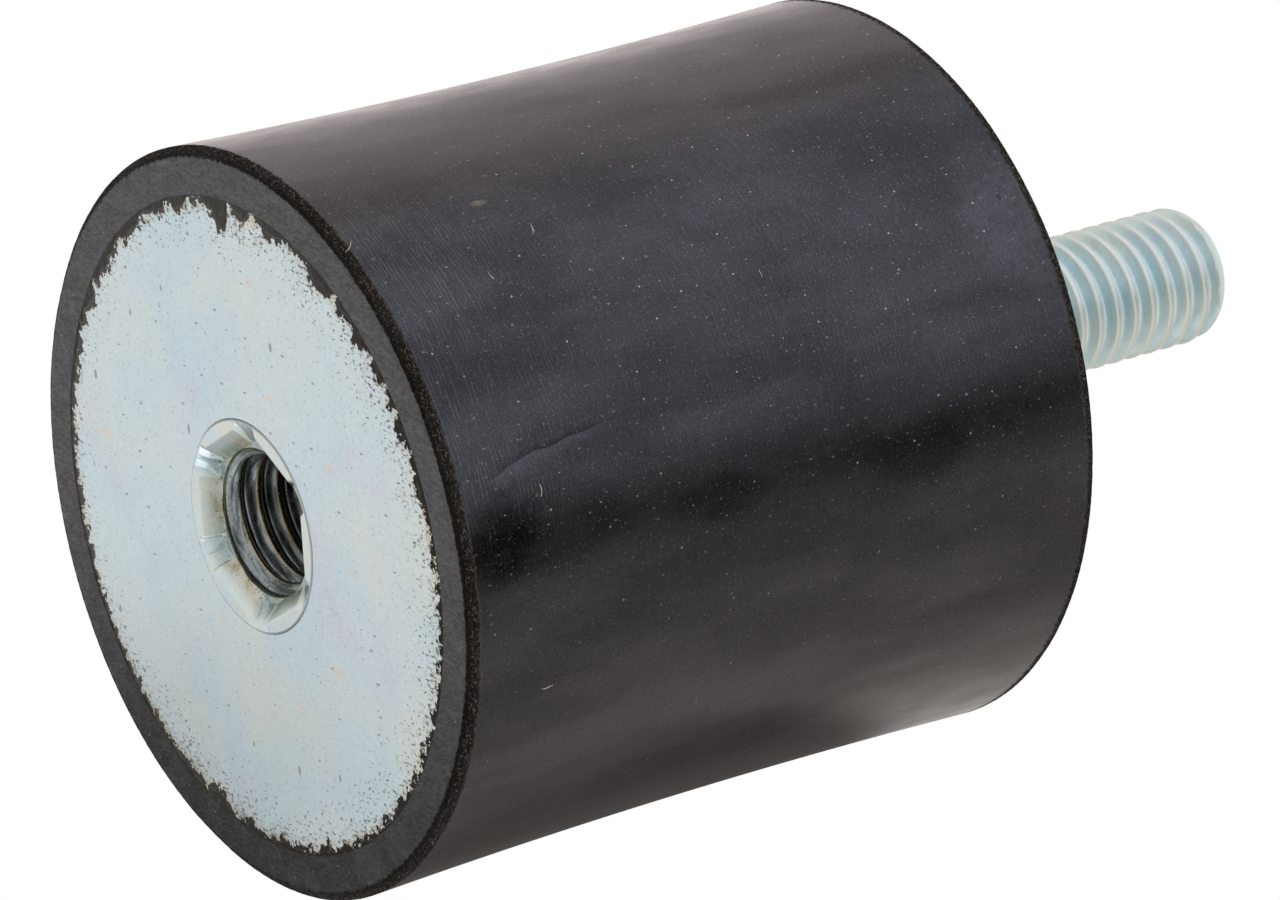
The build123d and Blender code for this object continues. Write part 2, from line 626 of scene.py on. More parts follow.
    def torn_share(self, sheet: Sheet, from_end: Socket) -> Socket:
        """Where the edge was trimmed and torn, fading raggedly into the moulded skin."""
        wander = sheet.grade(sheet.clouds(0.28, 4.0, 0.7), 0.3, 0.7, -0.08, 0.08)
        low = sheet.grade(sheet.plus(from_end, wander), self.trim_height + 0.12, self.trim_height - 0.08)
        out = sheet.grade(sheet.plus(sheet.radius, wander), self.trim_radius - 0.07, self.trim_radius + 0.10)
        return sheet.times(low, out)

    def rings(self, sheet: Sheet, wall: Socket) -> Socket:
        """Fine turning marks round the flank, clearest near the ends and on the dusty side."""
        drift = sheet.clouds(1.6, 2.0, 0.5, (0.4, 1, 0), 0.0, wall)
        turns = sheet.plus(sheet.math("DIVIDE", sheet.height, self.ring_spacing), sheet.times(drift, 3.0))
        lines = sheet.grade(sheet.math("SINE", sheet.times(turns, 2 * math.pi)), -0.1, 1.0)
        worn = sheet.grade(sheet.clouds(0.32, 2.0, 0.6, (0.28, 1, 0), 5.0, wall), 0.36, 0.62)
        lines = sheet.times(lines, worn)
        patch = sheet.grade(sheet.clouds(5.0, 3.0, 0.6, shift=9.0), 0.36, 0.62, 0.20, 0.55)
        near = sheet.grade(sheet.height, 11.0, 3.0, 0.55, 1.45)
        side = sheet.grade(facing(sheet, self.dusty_side + 16.0), 0.80, 0.94, 0.15, 1.0)
        return sheet.times(sheet.times(lines, patch), sheet.times(near, side))

    def marks_and_painted_light(self, sheet: Sheet, wall: Socket, colour: Socket) -> tuple[Socket, Socket]:
        """Stains, dull patches, painted dark reflections, a painted sheen and the flow mark where two streams
        of rubber met in the mould, with painted shade and a painted glint along it.

        Args:
            sheet: The material.
            wall: Place on the flank rolled out flat.
            colour: Colour of the clean rubber.

        Returns:
            The marked colour and how dull the skin is.
        """
        dull = 0.0
        for blotch in self.blotches:
            centre = (math.radians(blotch.azimuth) * SIZES.body_r, blotch.height)
            spot = sheet.spot(wall, centre, (blotch.half_round, blotch.half_up))
            ragged = sheet.times(spot, sheet.grade(sheet.clouds(0.4, 3.0, 0.6), 0.3, 0.6, 0.4, 1.0))
            # painted light: several of these patches are painted dark reflections or a painted sheen
            colour = sheet.tint(ragged, colour, blotch.shade, blotch.strength)
            dull = sheet.most(sheet.times(spot, blotch.dull), dull)
        across = sheet.node("ShaderNodeSeparateXYZ", {0: wall}).outputs[0]
        lean = sheet.math("MULTIPLY_ADD", sheet.height, self.flow_slope, self.flow_start)
        wiggle = sheet.grade(sheet.clouds(2.6, 1.0), 0.3, 0.7, -0.20, 0.20)
        side = sheet.plus(sheet.minus(across, lean), wiggle)
        reach = sheet.times(sheet.grade(sheet.height, 2.2, 3.2), sheet.grade(sheet.height, 10.5, 8.0))
        # painted shade and painted glint: the flow mark's colour is darker just above its line and lighter
        # just below it
        above = sheet.times(sheet.grade(side, -0.45, -0.03), sheet.grade(side, 0.01, -0.02))
        below = sheet.times(sheet.grade(side, 0.8, 0.0), sheet.grade(side, -0.02, 0.01))
        above = sheet.times(above, reach)
        colour = sheet.tint(above, colour, "#0d0907", 0.45)
        colour = sheet.tint(sheet.times(below, reach), colour, self.ring_glint, 0.28)
        return colour, sheet.most(dull, sheet.times(above, 0.3))

    def litter(self, sheet: Sheet, wall: Socket, colour: Socket) -> Socket:
        """Dust, lint and pits on the skin of the flank, most of it on the side that lay uppermost.

        Args:
            sheet: The material.
            wall: Place on the flank rolled out flat.
            colour: Colour of the clean rubber.

        Returns:
            The colour with the litter on it.
        """
        settled = sheet.grade(facing(sheet, self.dusty_side), 0.1, 0.85, 0.45, 1.0)
        grain = sheet.grade(sheet.clouds(0.085, 1.0, 0.5, shift=17.0, place=wall), 0.60, 0.85, 0.0, 0.16)
        warm = sheet.grade(sheet.clouds(0.5, 2.0, 0.5, shift=29.0), 0.42, 0.58)
        shade = sheet.tint(warm, "#8a909c", "#a08c84")
        colour = sheet.tint(sheet.times(grain, settled), colour, shade)
        layers = (
            (sheet.specks(wall, 0.36, 0.046, 0.55), 0.17, shade),
            (sheet.specks(wall, 0.75, 0.052, 0.45, (1, 0.55, 1)), 0.24, shade),
            (sheet.specks(wall, 1.90, 0.060, 0.45), 0.45, self.dust),
            (sheet.specks(wall, 2.10, 0.125, 0.36, (0.6, 1, 1)), 0.95, "#040404"),
        )
        for specks, strength, tone in layers:
            amount = sheet.times(sheet.times(specks, strength), settled)
            colour = sheet.tint(amount, colour, tone)
        return colour

    def end_colour(self, sheet: Sheet, bloom_and_shade: Socket) -> Socket:
        """Brown-black of the end face, brushed, with bluish clouds of bloomed wax, pale and dark specks, and
        painted shade towards one side.

        Args:
            sheet: The material.
            bloom_and_shade: How much wax has bloomed out of it; it falls to 0 on the shaded side, where the
                painted shade is darkest.

        Returns:
            The colour.
        """
        # painted shade: the end face's colour darkens towards one side
        colour = sheet.tint(bloom_and_shade, self.end_face_shade, self.end_face)
        brushed = sheet.grade(sheet.clouds(0.13, 2.0, 0.6, (1, 0.3, 1), 11.0), 0.40, 0.66, 0.0, 0.24)
        colour = sheet.tint(sheet.times(brushed, bloom_and_shade), colour, "#514b49")
        bluish = sheet.grade(sheet.clouds(2.6, 3.0, 0.6, shift=31.0), 0.46, 0.66, 0.0, 0.7)
        colour = sheet.tint(bluish, colour, "#26272f")
        pits = sheet.specks(sheet.disc, 0.50, 0.075, 0.35, (1, 0.6, 1))
        colour = sheet.tint(pits, colour, "#050404", 0.7)
        crumbs = sheet.specks(sheet.disc, 0.85, 0.055, 0.35)
        return sheet.tint(crumbs, colour, self.dust, 0.28)

    def torn_colour(self, sheet: Sheet, wall: Socket) -> Socket:
        """Black where the knife ran in, brown and full of pale crumbs further out."""
        streaks = sheet.grade(sheet.clouds(0.11, 3.0, 0.7, (0.35, 1, 1), 5.0, wall), 0.36, 0.66)
        outer = sheet.grade(sheet.radius, self.trim_radius + 0.12, self.trim_radius + 0.30, 0.15, 1.0)
        colour = sheet.tint(sheet.times(streaks, outer), self.torn, self.torn_pale)
        crumbs = sheet.math("LESS_THAN", sheet.clouds(0.10, 2.0, 0.6, (0.6, 1, 1), 13.0, wall), 0.40)
        return sheet.tint(sheet.times(crumbs, outer), colour, self.crumb, 0.45)


@dataclass(frozen=True)
class Lint:
    """Cotton fibres and rubber hairs: dull, with a faint change of shade along them."""

    shade: str = "#b7ada0"
    dark: str = "#8c8176"
    rough: float = 0.8

    def make(self) -> Material:
        """Draw up the material."""
        sheet = Sheet("lint")
        change = sheet.grade(sheet.clouds(0.3, 2.0), 0.4, 0.6)
        colour = sheet.tint(change, self.shade, self.dark)
        return sheet.finish(Base_Color=colour, Roughness=self.rough)


@dataclass(frozen=True)
class RubberFlash:
    """Thin brown-black skin of rubber that crept over the plate's edge in the mould.

    It is brown in worn patches, and partly straw-coloured where it feathers out.
    """

    thick: str = "#1a1613"
    thin: str = "#43372a"
    edge: str = "#a8946f"
    ior: float = 1.50
    rough: float = 0.6

    def make(self, body_height: float, skin: float) -> Material:
        """Draw up the material.

        Args:
            body_height: Height of the rubber body, mm.
            skin: Thickness of the flash, mm.

        Returns:
            The material.
        """
        sheet = Sheet("rubber_flash")
        depth = sheet.least(sheet.height, sheet.minus(body_height, sheet.height))
        worn = sheet.grade(sheet.clouds(0.5, 3.0, 0.6), 0.5, 0.75)
        colour = sheet.tint(worn, self.thick, self.thin)
        patchy = sheet.grade(sheet.clouds(0.9, 3.0, 0.6, shift=3.0), 0.38, 0.62)
        feather = sheet.grade(depth, skin * 0.75, skin * 1.0, 0.0, 0.5)
        colour = sheet.tint(sheet.times(feather, patchy), colour, self.edge)
        normal = sheet.relief(0.02, sheet.clouds(0.12, 3.0, 0.6))
        sheen = film_sheen(sheet)
        return sheet.finish(
            Base_Color=colour, Roughness=self.rough, IOR=self.ior, Specular_IOR_Level=sheen, Normal=normal
        )


class PlatedPart(Enum):
    """Which zinc-plated piece a finish is for."""

    PLATE = "zinc_plate"
    INSERT = "zinc_insert"
    STUD = "zinc_stud"


@dataclass(frozen=True)
class ZincPlating:
    """Zinc-plated steel, clear-passivated: a pale, slightly iridescent satin metal.

    Barrel plating leaves it finely mottled, the passivation adds faint blue, lilac and straw
    clouds, and moulding leaves soot specks and a straw-coloured stain near the rubber.
    """

    part: PlatedPart
    silver: str = "#ccd6d8"
    blue: str = "#c0d2da"
    straw: str = "#d9d8c6"
    lilac: str = "#cbc9d6"
    stain: str = "#a98f68"
    soot: str = "#3d3833"
    rough: float = 0.40
    cloud_size: float = 9.0
    stain_start: float = 16.3
    stain_end: float = 17.45
    clean_side: float = 105.0  # azimuth where least soot lies on the plate, degrees

    def make(self) -> Material:
        """Draw up the material."""
        sheet = Sheet(self.part.value)
        size = self.cloud_size
        colour = self.silver
        for shade, patches, low, high, most in (
            (self.blue, sheet.clouds(size, 2.0), 0.38, 0.70, 0.8),
            (self.straw, sheet.clouds(size, 3.0, 0.55, shift=21.0), 0.5, 0.75, 0.55),
            (self.lilac, sheet.clouds(size * 0.6, 2.0, 0.5, shift=47.0), 0.54, 0.78, 0.6),
        ):
            colour = sheet.tint(sheet.grade(patches, low, high, 0.0, most), colour, shade)
        mottle = sheet.grade(sheet.clouds(0.30, 4.0, 0.7), 0.35, 0.70, 0.0, 0.07)
        colour = sheet.tint(mottle, colour, self.soot)
        soot = 0.0
        if self.part is PlatedPart.PLATE:
            colour, soot = self.smudge(sheet, colour)
        elif self.part is PlatedPart.INSERT:
            colour, soot = self.grime_and_shade(sheet, colour)
        else:
            colour = self.tint_crests(sheet, colour)
        metal = sheet.minus(1.0, sheet.least(sheet.times(soot, 1.1), 1.0))
        sheen = sheet.grade(soot, 0.7, 1.0, 0.5, film_sheen(sheet))
        normal = sheet.relief(0.006, sheet.clouds(0.16, 3.0, 0.6))
        rough = sheet.grade(sheet.clouds(1.4, 3.0, 0.6), 0.3, 0.7, self.rough - 0.05, self.rough + 0.05)
        return sheet.finish(
            Base_Color=colour, Metallic=metal, Roughness=rough, Specular_IOR_Level=sheen, Normal=normal
        )

    def smudge(self, sheet: Sheet, colour: Socket) -> tuple[Socket, Socket]:
        """Straw stain and soot specks that thicken towards the plate's edge.

        Args:
            sheet: The material.
            colour: Colour of the clean plate.

        Returns:
            The dirty colour and how much soot lies on it.
        """
        inward = sheet.node("ShaderNodeAttribute", attribute_name=FLASH_EDGE).outputs["Fac"]
        large = sheet.grade(sheet.clouds(0.55, 2.0, 0.5, shift=6.0), 0.25, 0.75, -0.32, 0.32)
        small = sheet.grade(sheet.clouds(0.17, 2.0, 0.55, shift=8.0), 0.25, 0.75, -0.17, 0.17)
        cover = sheet.plus(inward, sheet.plus(large, small))
        flash = sheet.grade(cover, -0.012, 0.02)
        patchy = sheet.grade(sheet.clouds(0.8, 3.0, 0.6, shift=14.0), 0.40, 0.60)
        rim = sheet.times(sheet.grade(cover, -0.16, -0.01), patchy)
        edge = sheet.grade(sheet.radius, self.stain_start, self.stain_end)
        blotch = sheet.grade(sheet.clouds(0.35, 4.0, 0.7), 0.42, 0.62)
        stained = sheet.most(sheet.times(edge, blotch), rim)
        colour = sheet.tint(stained, colour, self.stain, 0.75)
        crowd = sheet.grade(sheet.radius, 12.5, 17.4, 0.27, 0.445)
        uneven = sheet.grade(sheet.clouds(1.8, 3.0, 0.6, shift=33.0), 0.35, 0.65, -0.03, 0.03)
        crowd = sheet.plus(crowd, uneven)
        cleaner = sheet.grade(facing(sheet, self.clean_side), 0.2, 0.9, 0.0, 0.055)
        crowd = sheet.minus(crowd, cleaner)
        grit = sheet.clouds(0.17, 2.0, 0.55, (1.0, 0.5, 1.0), 3.0)
        dirt = sheet.grade(sheet.minus(crowd, grit), 0.0, 0.035)
        tan = sheet.minus(crowd, sheet.clouds(0.21, 2.0, 0.55, (1.0, 0.6, 1.0), 27.0))
        tan = sheet.grade(tan, -0.02, 0.04)
        colour = sheet.tint(tan, colour, self.stain, 0.30)
        rosy = sheet.specks(sheet.disc, 2.8, 0.24, 0.40, (1.0, 0.38, 1.0))
        colour = sheet.tint(rosy, colour, "#e2b79c", 0.22)
        fine = sheet.specks(sheet.disc, 0.34, 0.050, 0.55, (1.0, 0.5, 1.0))
        marks = sheet.specks(sheet.disc, 0.95, 0.070, 0.40, (1.0, 0.45, 1.0))
        marks = sheet.most(marks, sheet.specks(sheet.disc, 2.9, 0.130, 0.40, (0.5, 1.0, 1.0)))
        soot = sheet.most(sheet.times(dirt, 0.85), sheet.times(fine, 0.25))
        soot = sheet.most(soot, sheet.times(marks, 0.6))
        colour = sheet.tint(soot, colour, self.soot, 0.85)
        colour = sheet.tint(flash, colour, RubberFlash.thick)
        return colour, sheet.most(soot, flash)

    def grime_and_shade(self, sheet: Sheet, colour: Socket) -> tuple[Socket, Socket]:
        """Greenish and yellow-brown deposits and painted shade on the punched facets, painted shade in the
        lug channels, and a bore darkened inwards by painted shade.

        Args:
            sheet: The material.
            colour: Colour of the clean insert.

        Returns:
            The dirty colour and how much soot lies on it.
        """
        deep = sheet.grade(sheet.height, 0.10, 0.70)
        in_print = sheet.grade(sheet.height, 1.22, 1.08)
        corner = sheet.grade(sheet.math("COSINE", sheet.times(sheet.angle, 6.0)), 0.45, 0.75)
        land = sheet.minus(1.0, corner)
        streaks = sheet.grade(sheet.clouds(0.9, 3.0, 0.55, (1, 1, 0.4)), 0.32, 0.60, 0.5, 1.0)
        # painted shade and deposits: the facets darken deeper in the print
        residue_and_shade = sheet.times(sheet.times(deep, land), streaks)
        sides = sheet.grade(sheet.clouds(2.6, 1.0, 0.5, (1, 1, 0), 5.0), 0.42, 0.58)
        shade = sheet.tint(sides, "#7f8d7b", "#978c69")
        colour = sheet.tint(residue_and_shade, colour, shade, 0.85)
        # painted shade: the lug channels darken deeper in the print
        colour = sheet.tint(sheet.times(deep, corner), colour, "#7f908b", 0.7)
        bore = sheet.minus(1.0, in_print)
        worn = sheet.grade(sheet.clouds(0.17, 3.0, 0.6, (0.09, 1, 0), 2.0, sheet.unrolled(3.7)), 0.36, 0.62)
        # painted shade: the bore is darker than the plating, streaked lighter and darker round it
        colour = sheet.tint(bore, colour, sheet.tint(worn, "#3c413e", "#8a9093"))
        crest = sheet.times(sheet.grade(sheet.radius, 3.52, 3.42), bore)
        colour = sheet.tint(crest, colour, "#a8966f", 0.55)
        # painted shade: the bore darkens further inwards
        colour = sheet.tint(sheet.grade(sheet.height, 1.8, 7.0, 0.0, 0.9), colour, "#3a3732")
        specks = sheet.math("LESS_THAN", sheet.clouds(0.16, 2.0, 0.6, shift=7.0), 0.37)
        soot = sheet.times(specks, sheet.grade(sheet.height, 0.25, 0.8, 0.0, 0.85))
        joint = sheet.grade(sheet.radius, 5.56, 5.66, 0.0, 0.55)
        joint = sheet.times(joint, sheet.grade(sheet.height, 0.3, 0.2))
        colour = sheet.tint(joint, colour, "#5b5856")
        return sheet.tint(soot, colour, self.soot), soot

    def tint_crests(self, sheet: Sheet, colour: Socket) -> Socket:
        """Crests of the stud's thread, tinted warmer and less blue than its roots."""
        crest = sheet.grade(sheet.radius, 3.62, 3.80, 0.0, 0.8)
        return sheet.tint(crest, colour, "#cbcfc5")


def dress(piece: bpy.types.Object, material: Material, slot: str, *nodes: str) -> bpy.types.Object:
    """Give a piece its finish, its body and the frame nodes that it stands for.

    Args:
        piece: The new piece.
        material: Its finish.
        slot: Material slot of the record. Not used.
        *nodes: Frame nodes that it replaces.

    Returns:
        The same piece.
    """
    piece.data.materials.clear()
    piece.data.materials.append(material)
    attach(piece, "root")
    if nodes:
        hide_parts(*nodes)
    log.info("%s: %d faces", piece.name, len(piece.data.polygons))
    return piece


# ---------------------------------------------------------------- rubber body


@dataclass
class RubberBody:
    """The moulded rubber: waisted flank, a rim round each plate, torn trim and inner pockets."""

    waist: float = 0.38
    trim_height: float = 0.4
    trim_setback: float = 0.5
    head_chamfer: float = 0.6
    collar_chamfer: float = 1.0
    segments: int = 720
    flank_rows: int = 44
    rim_rows: int = 6
    trim_rows: int = 8
    torn_depth: float = 0.035
    least_torn: float = 0.2  # share of the tearing that is left along both sides of the trim
    tear_fine: float = 0.6
    tear_slow: float = 0.4
    tear_middle: float = 0.9
    tear_most: float = 2.2
    torn_slant: float = 0.7  # share of the tearing's depth that goes inward, and as much along the axis

    def end_rows(self) -> tuple[np.ndarray, np.ndarray, np.ndarray]:
        """Profile of one end, from the plate's edge out to the flank.

        Returns:
            Radii, heights above the end face, and how torn each row is.
        """
        rim_r = SIZES.body_r - self.trim_setback
        rim = stretch(SIZES.plate_r, rim_r, self.rim_rows)
        step = np.linspace(0, 1, self.trim_rows)
        radius = np.concatenate([rim, rim_r + step * self.trim_setback])
        height = np.concatenate([np.zeros(self.rim_rows), step * self.trim_height])
        torn = np.sin(step * math.pi) * (1 - self.least_torn) + self.least_torn
        torn = np.concatenate([np.zeros(self.rim_rows), torn])
        return radius, height, torn

    def flank_radius(self, height: np.ndarray) -> np.ndarray:
        """Radii of the waisted flank at these heights."""
        middle = SIZES.body_h / 2
        return SIZES.body_r - self.waist * (1 - ((height - middle) / (middle - self.trim_height)) ** 2)

    def build(self, material: Material) -> bpy.types.Object:
        """Make the body.

        Args:
            material: Finish of the rubber.

        Returns:
            The piece.
        """
        end_r, end_z, torn = self.end_rows()
        flank_z = np.linspace(self.trim_height, SIZES.body_h - self.trim_height, self.flank_rows + 2)[1:-1]
        flank_r = self.flank_radius(flank_z)
        head = SIZES.stud_low
        pockets = np.array([
            (SIZES.plate_r, SIZES.body_h - SIZES.plate_t),
            (SIZES.stud_head_r, SIZES.body_h - SIZES.plate_t),
            (SIZES.stud_head_r, head + self.head_chamfer),
            (SIZES.stud_head_r - self.head_chamfer, head),
            (0.0, head),
            (0.0, SIZES.insert_h),
            (SIZES.collar_r - self.collar_chamfer, SIZES.insert_h),
            (SIZES.collar_r, SIZES.insert_h - self.collar_chamfer),
            (SIZES.collar_r, SIZES.plate_t),
            (SIZES.plate_r, SIZES.plate_t),
        ])
        radius = np.concatenate([end_r, flank_r, end_r[::-1], pockets[:, 0]])
        height = np.concatenate([end_z, flank_z, SIZES.body_h - end_z[::-1], pockets[:, 1]])
        tear = np.concatenate([torn, np.zeros(self.flank_rows), torn[::-1], np.zeros(len(pockets))])
        angle = ring_angles(self.segments)[None, :]
        along = (radius + height)[:, None]
        fine = Ripple(3, 90, (60, 330), (0.25, 1.2)).at(angle, along)
        slow = Ripple(5, 14, (3, 40)).at(angle, along * 0)
        rough = np.clip(fine * self.tear_fine + slow * self.tear_slow + self.tear_middle, 0, self.tear_most)
        depth = tear[:, None] * self.torn_depth * rough
        upper = (height > SIZES.body_h / 2)[:, None]
        inward = radius[:, None] - depth * self.torn_slant
        along = height[:, None] + np.where(upper, -depth, depth) * self.torn_slant
        points = turned_points(inward, along, self.segments)
        piece = grid_object("rubber_skin", points, loop_rows=True)
        return dress(piece, material, "rubber", "rubber_body")


@dataclass(frozen=True)
class Fibre:
    """A loose fibre that clings to the flank.

    Attributes:
        azimuth: Where it starts round the axis, degrees.
        height: Height where it starts, mm.
        heading: Direction it starts in, degrees from the axis.
        length: Its length, mm.
        curl: How far it turns along its length, degrees.
        thickness: Its diameter in the middle, mm.
        steps: Rows along it.
        sides: Points round it.
        stand_off: How far its middle stands off the flank, in thicknesses.
    """

    azimuth: float
    height: float
    heading: float
    length: float
    curl: float
    thickness: float = 0.045
    steps: int = 16
    sides: int = 6
    stand_off: float = 0.4

    def build(self, name: str, material: Material) -> bpy.types.Object:
        """Make the fibre.

        Args:
            name: Name of the piece.
            material: Its finish.

        Returns:
            The piece.
        """
        part = np.linspace(0, 1, self.steps)
        heading = np.radians(self.heading + self.curl * part)
        stride = self.length / (self.steps - 1)
        height = self.height + np.cumsum(np.cos(heading)) * stride
        sweep = math.radians(self.azimuth) + np.cumsum(np.sin(heading)) * stride / SIZES.body_r
        out = RubberBody().flank_radius(height) + self.thickness * self.stand_off
        half = np.sqrt(np.clip(1 - (2 * part - 1) ** 2, 0, 1)) * self.thickness / 2
        turn = ring_angles(self.sides)[None, :]
        off, side = half[:, None] * np.cos(turn), half[:, None] * np.sin(turn)
        radius = out[:, None] + off
        angle = sweep[:, None] + side * np.cos(heading)[:, None] / SIZES.body_r
        level = height[:, None] - side * np.sin(heading)[:, None]
        points = np.stack([radius * np.cos(angle), radius * np.sin(angle), level], axis=-1)
        return dress(grid_object(name, points), material, "rubber")


# ---------------------------------------------------------------- end plates and their flash


@dataclass(frozen=True)
class Tongue:
    """One tongue of rubber flash on a plate: where it is, how wide and how far in it reaches."""

    angle: float
    half_width: float
    reach: float


class End(Enum):
    """The two ends of the mount."""

    FEMALE = 1
    STUD = -1


@dataclass
class EndPlate:
    """A punched steel plate, set a hair below the rubber's face, and the flash on its edge."""

    end: End
    hole_r: float
    countersink: float
    tongues: Sequence[Tongue]
    seed: int
    edge_round: float = 0.12
    mouth_round: float = 0.06
    sink: float = 0.04  # thickness of the flash, which fills up to the rubber's face
    segments: int = 1080
    feather: float = 0.10
    soft_margin: float = 0.30  # the finish draws the flash's thin, ragged margin
    least_reach: float = 0.38
    most_reach: float = 3.0
    narrowest: float = 0.06
    taper: tuple[float, float] = (0.6, 1.3)  # a tongue tapers between these shares of its half-width
    overlap: float = 0.02  # how far the flash runs into the rubber
    bite: float = 0.01  # how far it runs into the plate
    grain_depth: float = 0.06
    rag: Sequence[tuple[int, float]] = ((24, 0.07), (55, 0.06))

    def level(self, depth: np.ndarray) -> np.ndarray:
        """Heights of places at these depths behind the mount's end face."""
        return depth if self.end is End.FEMALE else SIZES.body_h - depth

    def build_plate(self, material: Material) -> bpy.types.Object:
        """Make the plate.

        Args:
            material: Finish of the plating.

        Returns:
            The piece.
        """
        quarter = np.linspace(0, math.pi / 2, 5)
        edge_r = SIZES.plate_r - self.edge_round * (1 - np.sin(quarter))
        edge_z = self.sink + self.edge_round * (1 - np.cos(quarter))
        mouth_r = self.hole_r + self.countersink
        face_r = np.linspace(mouth_r + self.mouth_round, SIZES.plate_r - self.edge_round, 12)[:-1]
        face_z = np.full(len(face_r), self.sink)
        hole_z = [SIZES.plate_t, self.countersink, self.sink + self.mouth_round]
        radius = np.concatenate([[self.hole_r, self.hole_r, mouth_r], face_r, edge_r, [SIZES.plate_r]])
        depth = np.concatenate([hole_z, face_z, edge_z, [SIZES.plate_t]])
        points = turned_points(radius, self.level(depth), self.segments)
        name = "female_plate_face" if self.end is End.FEMALE else "stud_plate_face"
        piece = grid_object(name, points, loop_rows=True)
        self.store_edge(piece)
        if self.end is End.FEMALE:
            return dress(piece, material, "zinc_plate", "female_plate")
        return dress(piece, material, "zinc_back_plate", "stud_plate")

    def store_edge(self, piece: bpy.types.Object) -> None:
        """Store at each point how far inside the flash's edge it lies, for the finish to use.

        Args:
            piece: The plate.
        """
        mesh = piece.data
        points = np.empty(len(mesh.vertices) * 3)
        mesh.vertices.foreach_get("co", points)
        x, y, _ = points.reshape(-1, 3).T / MM
        inside = self.flash_edge(np.arctan2(y, x)) - (SIZES.plate_r - np.hypot(x, y))
        mesh.attributes.new(FLASH_EDGE, "FLOAT", "POINT").data.foreach_set("value", inside)

    def flash_edge(self, angle: np.ndarray) -> np.ndarray:
        """How far in from the plate's edge the flash reaches.

        Args:
            angle: Angles round the axis, radians.

        Returns:
            Reaches, mm.
        """
        reach = np.full(len(angle), self.least_reach)
        for tongue in self.tongues:
            away = np.degrees(np.angle(np.exp(1j * (angle - math.radians(tongue.angle)))))
            body = 1 - ease(np.abs(away), *(tongue.half_width * share for share in self.taper))
            reach = np.maximum(reach, tongue.reach * body)
        ragged = sum(depth * Ripple(self.seed + step, 40, (waves, waves * 2)).at(angle)
                     for step, (waves, depth) in enumerate(self.rag))
        return np.clip(reach + ragged, 0.0, self.most_reach)

    def build_flash(self, material: Material) -> bpy.types.Object:
        """Make the skin of flash that lies on the plate's margin.

        Args:
            material: Finish of the flash.

        Returns:
            The piece.
        """
        angle = ring_angles(self.segments)
        reach = np.clip(self.flash_edge(angle) - self.soft_margin, self.narrowest, self.most_reach)
        outer = SIZES.plate_r + self.overlap
        inward = [reach, np.maximum(reach - self.feather, reach * 0.5), reach * 0.45, reach * 0.2, reach * 0]
        share = [1.0, 0.5, 0.12, 0.06, 0.05]  # depth of its top at each of those, in thicknesses
        grain = Ripple(self.seed + 12, 50, (200, 900)).at(angle)
        top = [self.sink * np.clip(part + self.grain_depth * grain * (1 - part), 0.0, 1.0) for part in share]
        under = np.full(len(angle), self.sink + self.bite)
        rows = []
        for step, depth in [*zip(inward, top), *zip(inward[::-1], [under] * len(inward))]:
            radius = outer - step
            x, y = radius * np.cos(angle), radius * np.sin(angle)
            rows.append(np.stack([x, y, self.level(depth)], axis=-1))
        name = "female_flash" if self.end is End.FEMALE else "stud_flash"
        return dress(grid_object(name, np.stack(rows), loop_rows=True), material, "rubber")


# ---------------------------------------------------------------- threads


OUTER_DEPTH = 0.6134  # of the pitch: an outer thread, down to its rounded root
INNER_DEPTH = 0.5413  # of the pitch: an inner thread
FLANK_SLOPE = math.tan(math.radians(30))  # the flanks stand 60 degrees apart


@dataclass(frozen=True)
class Thread:
    """ISO metric thread form.

    Attributes:
        nominal: Nominal diameter, mm.
        pitch: Pitch, mm.
        depth: Radial depth of the full form, in pitches.
        short: How far the crest stays short of the full form, mm. It widens the crest.
        soften: How much plating and rolling round the form, mm.
    """

    nominal: float = 8.0
    pitch: float = 1.25
    depth: float = OUTER_DEPTH
    short: float = 0.0
    soften: float = 0.05

    def rise(self, angle: np.ndarray, height: np.ndarray) -> np.ndarray:
        """How far the form stands between root and crest.

        Args:
            angle: Angles round the axis, radians.
            height: Heights, mm.

        Returns:
            0 at the root and 1 at the crest of an outer thread.
        """
        samples = 256
        phase = np.arange(samples) / samples * self.pitch
        from_crest = np.minimum(phase, self.pitch - phase)
        crest_flat = self.pitch / 16 + self.short * FLANK_SLOPE
        root_flat = self.pitch / 16 + self.depth * self.pitch * FLANK_SLOPE
        form = np.clip((root_flat - from_crest) / (root_flat - crest_flat), 0, 1)
        away = np.fft.fftfreq(samples, 1 / samples) * self.pitch / samples
        spread = np.exp(-0.5 * (away / self.soften) ** 2)
        form = np.real(np.fft.ifft(np.fft.fft(form) * np.fft.fft(spread / spread.sum())))
        turn = (height / self.pitch - angle / (2 * math.pi)) % 1.0
        return np.interp(turn * samples, np.arange(samples + 1), np.append(form, form[0]))

    @property
    def crest_r(self) -> float:
        """Radius of an outer thread's crest, mm."""
        return self.nominal / 2 - self.short

    @property
    def root_depth(self) -> float:
        """Radial depth of an outer thread's root below its crest, mm."""
        return self.depth * self.pitch - self.short


# ---------------------------------------------------------------- threaded insert


